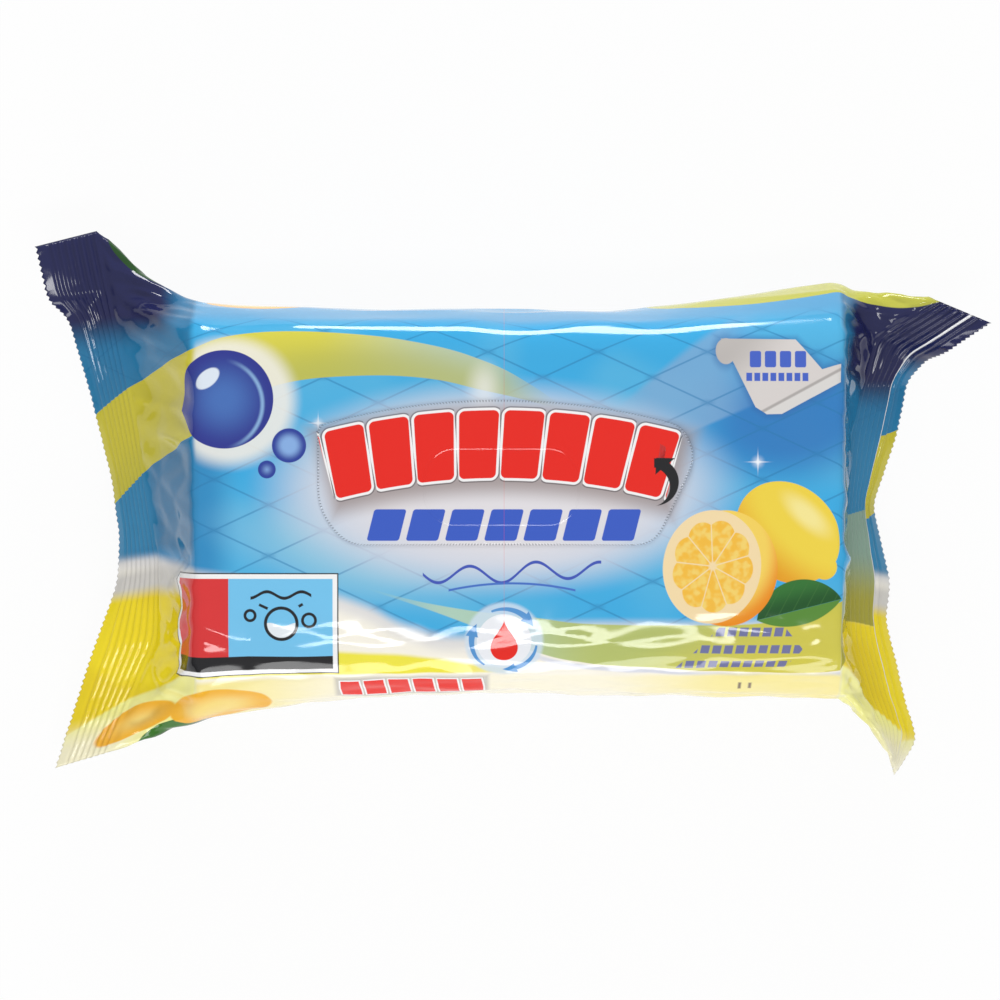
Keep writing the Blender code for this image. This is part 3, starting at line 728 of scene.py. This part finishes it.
# The pale glow behind the band, and the swoosh from the left seal over the top of the face
glow = oval(u, v, (-6, 2.8), (63.5, 28.5))
glow_colour = inked((0.63, 0.67, 0.76), PALE, fade(glow, -3, -14))
wrap.lay(glow_colour, fade(glow, 5.5, -7) * 0.97)
swoosh_top = bend(u, ((-150, 24), (-122, 34.4), (-97, 42.8), (-80, 48.6), (-68, 49.6),
                      (-50, 48.6), (-29, 45.2), (-10, 39.6), (3, 33), (14, 25)))
swoosh_low = bend(u, ((-150, -3), (-122, 8.2), (-95, 18.2), (-80, 28), (-68, 33.2),
                      (-50, 35.2), (-29, 34.8), (-10, 31), (3, 28), (14, 24.8)))
in_swoosh = inside((v - swoosh_top).most(swoosh_low - v)) * fade(u, 14, -12)
swoosh_colour = inked(
    SWOOSH_GOLD, (0.48, 0.6, 0.48), fade(u, -62, -14),
    (0.44, 0.46, 0.1), fade(v - swoosh_low, 14, 1) * 0.7,
    (0.6, 0.52, 0.035), fade(past_end, -1, 2) * 0.7)
wrap.lay(swoosh_colour, in_swoosh)
halo = oval(u, v, (-84.5, 28), (17, 16.5))
halo_share = fade(halo, 5, -1) * inside(v - 48.6, 1.2) * inside(past_end, 1)
wrap.lay((0.88, 0.86, 0.78), halo_share * 0.85)

# The lower part of the face: sky ends along a falling shore, over waves of green and gold
shore = bend(u, ((-96, -22), (-60, -27.5), (-46, -31.5), (-30, -38.5), (-16, -41),
                 (6, -37.5), (30, -37), (60, -37), (96, -33)))
wrap.lay((0.74, 0.73, 0.72), fade(v - shore, 2.4, -2))
wrap.lay((0.94, 0.9, 0.79), fade(v - shore, -1.5, -6.5))
gold_high = bend(u, ((-96, -44.5), (-52, -45.4), (-32, -46.5), (-12, -50), (8, -52.5)))
gold = fade(v - gold_high, 0.9, -0.9) * fade(v, -53.6, -52.6) * fade(u, 10, -22)
wrap.lay((0.86, 0.78, 0.06), gold)
green_high = bend(u, ((-44, -26.5), (-15, -33), (6, -35.4), (20, -37), (45, -37.4),
                      (66, -37.2), (84, -33.6), (96, -30)))
green_low = bend(u, ((-44, -27), (-15, -37), (6, -45.8), (21, -49.3), (41, -51.2),
                     (61, -53), (85, -53.6), (96, -52)))
green = inside((v - green_high).most(green_low - v).most(past_end), 0.2)
green_colour = inked(
    (0.43, 0.62, 0.48), (0.44, 0.51, 0.12), fade(u, -20, 26),
    (0.62, 0.56, 0.04), fade(u - v * 1.2, 84, 130))
wrap.lay(green_colour, green * fade(u, -46, -20) * 0.95)
under_green = fade(abs(v - green_low + 1.5), 1.4, 0.3) * fade(u, -4, 10) * inside(past_end)
wrap.lay((0.62, 0.65, 0.78), under_green * 0.75)

# The front side, and the bands of the two ends
side_cream = inked(
    (0.93, 0.88, 0.7), (0.91, 0.8, 0.32), fade(abs(u + 12), 30, 78),
    (0.74, 0.78, 0.78), fade(v, -84, -116))
wrap.lay(side_cream, fade(v, -53, -55.5))
on_end = fade(past_end, -0.6, 1.4)
v_end = v + u.above(0) * 4
wrap.lay((0.66, 0.64, 0.6), fade(v_end, -19.5, -23.5) * on_end)
end_gold = inked(
    (0.9, 0.72, 0.014), (0.82, 0.63, 0.012), fade(cloud, 0.45, 0.62),
    (0.88, 0.85, 0.3), fade(v + (past_end - 10) * 0.45, -53.5, -55),
    (0.9, 0.85, 0.6), fade(v, -66, -78) * fade(past_end, 14, 34))
wrap.lay(end_gold, fade(v_end, -26, -31) * on_end)
upper_end = fade(v, -19, -14) * fade(v, 104, 88) * (1 - in_swoosh)
# Painted shade: the print's blue is painted deep teal over the steep end slopes, and a less dark blue
# further out on the seals
wrap.lay(SHADED_END_TEAL, upper_end * fade(past_end, -0.4, 2) * 0.85)
wrap.lay((0.034, 0.24, 0.45), upper_end * fade(past_end, 22, 34) * fade(v, 40, 16))
deep_left = fade(u, -99, -108) * fade(v, 44, 56)
deep_right = fade(u, 98, 106) * fade(v, 33, 45)
wrap.lay(NAVY, deep_left.most(deep_right) * upper_end)
rise_high = bend(u, ((95, -31), (98, -20), (107, -6.3), (120, -1.5), (137, 2.7)))
rise_low = bend(u, ((95, -52), (100, -44), (110, -38), (122, -34.5), (137, -34)))
rise = inside((v - rise_high).most(rise_low - v).most(FACE_END - u), 0.2)
rise_colour = inked((0.27, 0.4, 0.32), (0.4, 0.37, 0.045), fade(v - rise_low, 24, 6))
wrap.lay(rise_colour, rise)


# Fruit and leaves on the sides, by the corners
def side_lemon(middle, radii, angle):
    """Prints a plain lemon on a side of the pack."""
    shape = oval(u, v, middle, radii, angle)
    shade = inked((0.86, 0.44, 0.03), (0.9, 0.68, 0.2), fade(shape, -0.5, -7))
    wrap.lay(shade, inside(shape, 0.3))


def side_leaf(middle, size, angle):
    """Prints a plain leaf on a side of the pack."""
    dx, dy = turned(u, v, middle, angle)
    blade = oval(dx, abs(dy), (0, -size), (size * 2, size * 2))
    shade = inked((0.018, 0.075, 0.014), (0.045, 0.17, 0.022), fade(dy, -3, 4))
    wrap.lay(shade, inside(blade, 0.2))


side_leaf((-103, -78.5), 8, 20)
side_lemon((-118, -70.5), (15, 5.8), 26)
side_lemon((-89.5, -66.5), (16.5, 9.5), 0)
tile_row = (u + 53).rest(7.2) - 3.6 + (v + 61) * 0.1
row_tile = box(tile_row, v, (0, -60.5), (2.9, 4.6)).most(abs(u + 31.4) - 21)
wrap.lay((0.45, 0.43, 0.42), fade(row_tile, 2.6, 0.4) * 0.8)
wrap.lay(WHITE, inside(row_tile - 0.5))
wrap.lay(RED, inside(row_tile))
marks = box(abs(u - 66.5), v, (1.5, -60.5), (0.45, 2.2))
wrap.lay((0.09, 0.05, 0.07), inside(marks, 0.3) * 0.85)
side_leaf((-112, 84), 8, -14)
side_lemon((-130, 90), (8, 7), 0)
side_lemon((-78, 76), (15, 9), 4)
rear_swoosh = oval(u, v, (82, 80), (44, 16), 5)
wrap.lay((0.52, 0.52, 0.07), inside(rear_swoosh, 0.2) * fade(v, 100, 92))


# Bubbles by the left end, a white-framed panel, a folded sheet and sparkles
bubble = oval(u, v, (-86, 28.5), (14.4, 14.4))
bubble_rim = abs(oval(u, v, (-87.728, 27.06), (12.96, 12.96)))
bubble_glint = oval(u, v, (-90.896, 34.548), (4.032, 2.304), 40)
bubble_colour = inked(
    (0.06, 0.16, 0.48), (0.024, 0.034, 0.27), fade(bubble, -12.96, 0),
    (0.3, 0.52, 0.8), fade(bubble_rim, 1.008, 0) * fade(u, -86, -75.92) * 0.8,
    (0.8, 0.88, 0.95), fade(bubble_glint, 0.25, -0.2) * 0.9)
wrap.lay(bubble_colour, inside(bubble))
small_bubbles = oval(u, v, (-67, 15), (5, 5)).least(oval(u, v, (-73.5, 8), (2.6, 2.6)))
small_colour = inked((0.24, 0.42, 0.76), (0.024, 0.05, 0.32), fade(small_bubbles, -3.4, -0.4))
wrap.lay(small_colour, inside(small_bubbles))

panel = box(u, v, (-79.2, -37.4), (26.6, 15.2))
wrap.lay(BLACK, inside(panel))
wrap.lay(WHITE, inside(panel + 0.35))
field_colour = (0.175, 0.545, 0.84)
ring = oval(u, v, (-69.3, -37), (4.6, 4.6))
filled = ring.most(v + 37.2 + (u * 0.8).sine() * 0.5)
field_colour = inked(field_colour, WHITE, inside(filled) * 0.85)
wave_line = abs(v + 28.6 + (u * 0.62).sine() * 0.95) - 0.46
small_rings = oval(u, v, (-78.4, -34.6), (1.5, 1.5)).least(oval(u, v, (-61.2, -36), (1.9, 1.9)))
strokes = box(u, v, (-74.5, -32), (1.4, 0.4), -24).least(box(u, v, (-63.6, -31.6), (0.7, 0.4), 30))
black_lines = (abs(ring) - 0.46).least(wave_line.most(abs(u + 69.4) - 8.9))
black_lines = black_lines.least(abs(small_rings) - 0.42).least(strokes)
field_colour = inked(
    field_colour, BLACK, inside(black_lines),
    (0.69, 0.034, 0.036), inside(u + 84.8),
    BLACK, inside(v + 46.6))
wrap.lay(field_colour, inside(panel + 1.7))

sheet = many_sided(u, v, [(58.9, 46.6), (69, 26.2), (72.3, 24.1), (76.7, 24.2), (88.5, 30.6),
                          (88.5, 37.3), (80.8, 46.1)])
arm = many_sided(u, v, [(86, 29.2), (94.3, 33.7), (94.3, 39), (86, 36.5)])
cloth = sheet.least(arm).least(oval(u, v, (60.4, 42.7), (3, 4)))
from_hem = (v - 24.2) * 0.88 - (u - 76.7) * 0.475
cloth_colour = inked(
    (0.68, 0.64, 0.62), (0.5, 0.47, 0.45), fade(u - v, 38, 18),
    (0.7, 0.68, 0.66), fade(from_hem, 3.4, 2.6),
    (0.3, 0.28, 0.27), fade(abs(from_hem - 3.3), 0.7, 0.1) * 0.7)
wrap.lay((0.03, 0.12, 0.36), fade(cloth, 2.4, -0.4) * 0.5)
tall_blocks = box((u - 66.8).rest(4.4) - 2.2, v, (0, 40.2), (1.65, 2.4), 0, 0.6)
tall_blocks = tall_blocks.most(abs(u - 75.6) - 8.8)
low_blocks = box((u - 66).rest(2.35) - 1.17, v, (0, 35), (0.85, 1.2)).most(abs(u - 75.4) - 9.4)
cloth_colour = inked(cloth_colour, (0.06, 0.125, 0.56), inside(tall_blocks.least(low_blocks)))
wrap.lay(cloth_colour, inside(cloth))


def sparkle(middle, reach, strength):
    """Prints a small star of light with four long points."""
    ax, ay = abs(u - middle[0]), abs(v - middle[1])
    far = ax * ax + ay * ay
    star = (ax * ay * 18 + far * 0.6).root()
    soft = fade(far.root(), reach * 0.6, 0) * 0.5
    wrap.lay((0.95, 0.97, 1), fade(star, reach, 0.2).most(soft) * strength)


sparkle((69.7, 10.2), 4.2, 0.95)
sparkle((-58.5, 21.5), 3.6, 0.8)
star_glow = oval(u, v, (-10.2, 31.8), (4, 6))
wrap.lay(WHITE, fade(star_glow, 3, -4) * 0.6)

# The fruit, then the arched band of red tiles over its grey shadow, and the blue blocks
fruit = print_group.nodes.new("ShaderNodeGroup")
fruit.node_tree = fruit_group
feed(fruit.inputs["Film"], print_in.outputs["Film"])
feed(fruit.inputs["Under"], wrap.colour)
wrap.lay(fruit.outputs["Color"], inside((u - 94.6).most(30 - u), 0.3))

ARCH_MIDDLE, ARCH_RADIUS, BAND_HALF = (-5.5, -182), 197.4, 9.9
TILE_PITCH, TILE_COUNT = 12.7, 8
arch_x, arch_y = turned(u, v, ARCH_MIDDLE, 0)
arch_far = (arch_x * arch_x + arch_y * arch_y).root() - ARCH_RADIUS
arch_run = arch_x.join("ARCTAN2", arch_y) * ARCH_RADIUS
half_band = TILE_PITCH * TILE_COUNT / 2
tile_x = (arch_run + half_band).rest(TILE_PITCH) - TILE_PITCH / 2 - arch_far * 0.06
tile = box(tile_x, arch_far, (0, 0), (TILE_PITCH / 2 - 0.75, BAND_HALF), 0, 1.6)
off_band = abs(arch_run) - half_band - 0.6
shadow = (abs(arch_run - 1) - half_band).most(abs(arch_far + 1.6) - BAND_HALF)
wrap.lay(GREY, fade(shadow, 6.5, -1) * 0.85)
wrap.lay((0.05, 0.04, 0.05), inside((tile - 1.15).most(off_band)) * 0.6)
wrap.lay(WHITE, inside((tile - 0.75).most(off_band)))
wrap.lay(RED, inside(tile.most(off_band)))

lean = u - v * 0.25
block = box((lean + 42.2).rest(11.4) - 5.7, v, (0, -8.2), (4.7, 4.6), 0, 0.8)
wrap.lay(BLOCK_BLUE, inside(block.most(abs(lean + 2.3) - 39.9)))
wavy_line = abs(v + 22 - (u * 0.33).sine() * 2.6 - (u * 0.11).sine() * 0.8)
wrap.lay((0.05, 0.09, 0.46), inside((wavy_line - 0.45).most(abs(u + 2) - 26)))
bowed_line = abs(v + 25.2 + ((u + 2) * (u + 2)) * 0.006)
wrap.lay((0.06, 0.16, 0.55), inside((bowed_line - 0.32).most(abs(u + 2) - 18.5)))

# Three blue arrows that chase each other round a white disc with a red drop
ring_x, ring_y = turned(u, v, (-4.3, -42.2), 0)
ring_far = (ring_x * ring_x + ring_y * ring_y).root() - 9.5
ring_run = (ring_x.join("ARCTAN2", ring_y) + 0.4).rest(2 * math.pi / 3)
arrow_head = abs(ring_far) - (ring_run - 1.5) * -4.4
arrow_tail = abs(ring_far) - 0.3 - ring_run * 0.55
chasing = (arrow_tail.most((ring_run - 1.12) * 9)).least(arrow_head.most((1.08 - ring_run) * 9))
wrap.lay((0.62, 0.74, 0.86), fade(abs(ring_far), 2.6, 1.2) * 0.8)
wrap.lay((0.84, 0.86, 0.9), inside(ring_far + 1.5))
wrap.lay((0.09, 0.3, 0.64), inside(chasing))
drop_side = abs(ring_x) - fade(ring_y, 6.6, -1.5) * 3.9
drop_low = oval(ring_x, ring_y, (0, -1.9), (4, 4))
wrap.lay(RED, inside(drop_low.least(drop_side.most(-1.9 - ring_y))))

# Three rows of short dashes on the green wave
dash_lean = u - v * 0.2
dash_row = box((dash_lean + 3).rest(3.4) - 1.7, (v + 52.5).rest(5.25) - 2.62, (0, 0), (1.25, 1.3))
dash_ends = (47 + (v + 49.9) * 0.97 - u).most(u - 79 - abs(v + 44.6) * -0.8 - 4)
dashes = inside(dash_row.most(dash_ends).most(abs(v + 44.6) - 7.8))
wrap.lay((0.09, 0.11, 0.4), dashes * 0.85)

# The peel arrow, by the label's tab
arrow_bow = oval(u, v, (39.7, 4.35), (6.9, 6.9)).most(-oval(u, v, (38.2, 2.9), (5.8, 5.8)))
arrow_bow = arrow_bow.most(39.4 - u)
arrow_point = many_sided(u, v, [(40, 11.4), (39.8, 6.5), (45.5, 11.3)])
wrap.lay(BLACK, inside(arrow_bow.least(arrow_point)))

# The thin line between two repeats of the print
wrap.lay(WHITE, inside(abs(u_first - REPEAT_LINE) - 0.45))
feed(print_out.inputs["Color"], wrap.colour)


def film_finish(name):
    """A glossy printed film: the wrap's print under a clear layer with faint scuffs."""
    material = bpy.data.materials.new(name)
    material.use_nodes = True
    tree = material.node_tree
    place = tree.nodes.new("ShaderNodeUVMap")
    place.uv_map = "film"
    printed = tree.nodes.new("ShaderNodeGroup")
    printed.node_tree = print_group
    feed(printed.inputs["Film"], place.outputs["UV"])
    shader = tree.nodes["Principled BSDF"]
    feed(shader.inputs["Base Color"], printed.outputs["Color"])
    scuffs = fade(noise(tree, place.outputs["UV"], SCUFF_SCALE), 0.35, 0.7)
    feed(shader.inputs["Specular IOR Level"], 0.42)
    feed(shader.inputs["Roughness"], scuffs * 0.07 + 0.05)
    return material, tree, place.outputs["UV"], shader


def raised(tree, shader, height, strength, distance):
    """Gives a shader fine relief: a height between 0 and 1, and what 1 is in metres."""
    bump = tree.nodes.new("ShaderNodeBump")
    feed(bump.inputs["Strength"], strength)
    feed(bump.inputs["Distance"], distance)
    feed(bump.inputs["Height"], height)
    feed(shader.inputs["Normal"], bump.outputs["Normal"])


printed_film, film_tree, film_uv_socket, film_shader = film_finish("printed_film")
film_x, film_y = film_place(film_tree, film_uv_socket)
seam_near = fade(abs(abs(film_y) - full_girth / 2.0), half_seam, half_seam - 1.0)
seam_crimp = (film_x * 4.2).sine() * (film_y * 4.2).sine() * seam_near
raised(film_tree, film_shader, seam_crimp * 0.1, 0.6, 0.0006)
film_mesh.materials.append(printed_film)
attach(film_pack, "root")
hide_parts("sealed_pack")


# The reseal label
# A thin clear-edged label film, kiss-cut with a fine dotted edge and stuck over the die-cut flap
# in the face. Its print matches the wrap's, and its right side has a tab to peel it back by.

LABEL_CENTRE = (-0.0055, 0.0071)
LABEL_WIDTH = 0.1065
LABEL_TOP, LABEL_ARCH_DROP, LABEL_BOTTOM = 0.0212, 0.0075, -0.0212
LABEL_FOOT_INSET, LABEL_SHOULDER, LABEL_CORNER = 0.008, -0.0105, 0.006
TAB_REACH, TAB_HEIGHT, TAB_LIFT = 0.004, 0.018, 0.0006
LABEL_RISE = 0.00022       # how far the label's outer side stands off the film
LABEL_EDGE_BAND = 0.0008
RING_SHARES = (0.94, 0.91, 0.85, 0.77, 0.67, 0.55, 0.42, 0.27, 0.12)
DOT_PITCH = 0.9            # millimetres between the dots along the edge

label_half = LABEL_WIDTH / 2.0
label_foot = label_half - LABEL_FOOT_INSET
label_side_top = LABEL_TOP - LABEL_ARCH_DROP
arch_points = [(x, LABEL_TOP - LABEL_ARCH_DROP * (x / label_half) ** 2)
               for x in np.linspace(0.8, -0.9, 15) * label_half]
label_corners = [
    (label_foot, LABEL_BOTTOM), (label_half, label_side_top - TAB_HEIGHT),
    (label_half + TAB_REACH, label_side_top - TAB_HEIGHT / 2.0), (label_half, label_side_top),
    *arch_points,
    (-label_half, label_side_top), (-label_half, LABEL_SHOULDER), (-label_foot, LABEL_BOTTOM),
]


def rounded_outline(corners, radius, straight):
    """The points of an outline whose corners are rounded, apart from the straight ones."""
    points = []
    for k, corner in enumerate(corners):
        if corner in straight:
            points.append(np.array(corner))
            continue
        back = np.subtract(corners[k - 1], corner)
        ahead = np.subtract(corners[(k + 1) % len(corners)], corner)
        room = min(radius, 0.45 * np.linalg.norm(back), 0.45 * np.linalg.norm(ahead))
        start = corner + back / np.linalg.norm(back) * room
        finish = corner + ahead / np.linalg.norm(ahead) * room
        for t in np.linspace(0.0, 1.0, 9):
            points.append((1 - t) ** 2 * start + 2 * t * (1 - t) * np.array(corner) + t * t * finish)
    return np.array(points)


def even_points(outline, step):
    """Points a step apart along a closed outline, with each one's distance along it."""
    closed = np.vstack((outline, outline[:1]))
    run = np.concatenate(([0.0], np.cumsum(np.linalg.norm(np.diff(closed, axis=0), axis=1))))
    count = int(round(run[-1] / step))
    wanted = np.arange(count) * run[-1] / count
    return np.column_stack([np.interp(wanted, run, closed[:, k]) for k in (0, 1)]), wanted


label_line, label_run = even_points(rounded_outline(label_corners, LABEL_CORNER, arch_points), 0.0009)
edge_in = 1.0 - LABEL_EDGE_BAND / np.linalg.norm(label_line, axis=1)
label_rings = [label_line, label_line * edge_in[:, None], *(label_line * s for s in RING_SHARES)]
label_xy = np.array(label_rings) + np.array(LABEL_CENTRE)


def label_height(xy, rise):
    """The height of the label over the film's waves, with its tab lifted a little."""
    beyond = smooth_step((xy[..., 0] - LABEL_CENTRE[0] - label_half + 0.01) / 0.014)
    return FACE_HEIGHT + face_waves(xy[..., 0], xy[..., 1]) + rise + TAB_LIFT * beyond ** 2


ring_count, line_count = label_xy.shape[:2]
outer_side = np.dstack((label_xy, label_height(label_xy, LABEL_RISE)))
under_edge = np.column_stack((label_xy[0], label_height(label_xy[0], 0.00003)))
label_points = np.vstack((outer_side.reshape(-1, 3), under_edge,
                          [(*LABEL_CENTRE, float(label_height(np.array(LABEL_CENTRE), LABEL_RISE)))]))
label_index = np.arange(ring_count * line_count).reshape(ring_count, line_count)
label_next = np.roll(label_index, -1, axis=1)
label_faces = np.stack([label_index[:-1], label_next[:-1], label_next[1:], label_index[1:]], -1)
label_faces = label_faces.reshape(-1, 4).tolist()
under_index = ring_count * line_count + np.arange(line_count)
under_next = np.roll(under_index, -1)
label_faces += np.stack([under_index, under_next, label_next[0], label_index[0]], -1).tolist()
top_point = len(label_points) - 1
label_faces += [(a, b, top_point) for a, b in zip(label_index[-1].tolist(), label_next[-1].tolist())]
label_faces.append(under_index[::-1].tolist())
label_mesh = bpy.data.meshes.new("reseal_label_film")
label_mesh.from_pydata(label_points.tolist(), [], label_faces)
edge_distance = np.concatenate((
    np.repeat(np.concatenate(([0.0, LABEL_EDGE_BAND], np.full(ring_count - 2, 0.02))), line_count),
    np.zeros(line_count), [0.02]))
edge_run = np.concatenate((np.tile(label_run, ring_count), label_run, [0.0]))
label_uv = label_mesh.uv_layers.new(name="film")
edge_uv = label_mesh.uv_layers.new(name="edge")
for polygon in label_mesh.polygons:
    runs = [edge_run[label_mesh.loops[k].vertex_index] for k in polygon.loop_indices]
    for k, run_here in zip(polygon.loop_indices, runs):
        vertex = label_mesh.loops[k].vertex_index
        label_uv.data[k].uv = label_points[vertex][:2]
        wrapped = run_here + (label_run[-1] if run_here < 0.002 and max(runs) > 0.1 else 0.0)
        edge_uv.data[k].uv = (wrapped, edge_distance[vertex])
label_mesh.shade_smooth()
label_mesh.set_sharp_from_angle(angle=0.6)
reseal_label_film = placed("reseal_label_film", label_mesh)

label_film, label_tree, label_uv_socket, label_shader = film_finish("label_film")
edge_place = label_tree.nodes.new("ShaderNodeUVMap")
edge_place.uv_map = "edge"
run_field, edge_field = film_place(label_tree, edge_place.outputs["UV"])
dots = fade((run_field * (2.0 * math.pi / DOT_PITCH)).sine(), -0.1, 0.4)
dotted = dots * fade(edge_field, 0.75, 0.35)
print_socket = label_shader.inputs["Base Color"].links[0].from_socket
feed(label_shader.inputs["Base Color"], inked(print_socket, (0.1, 0.11, 0.13), dotted * 0.55))
flap_x, flap_y = film_place(label_tree, label_uv_socket)
flap_edge = abs(box(flap_x, flap_y, (-5.0, 3.1), (22.5, 11.1), 0.0, 9.0))
flap_relief = fade(flap_edge, 0.5, 0.05) * 0.5 + dotted * -0.4
raised(label_tree, label_shader, flap_relief, 0.7, 0.0002)
label_mesh.materials.append(label_film)
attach(reseal_label_film, "root")
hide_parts("reseal_label")
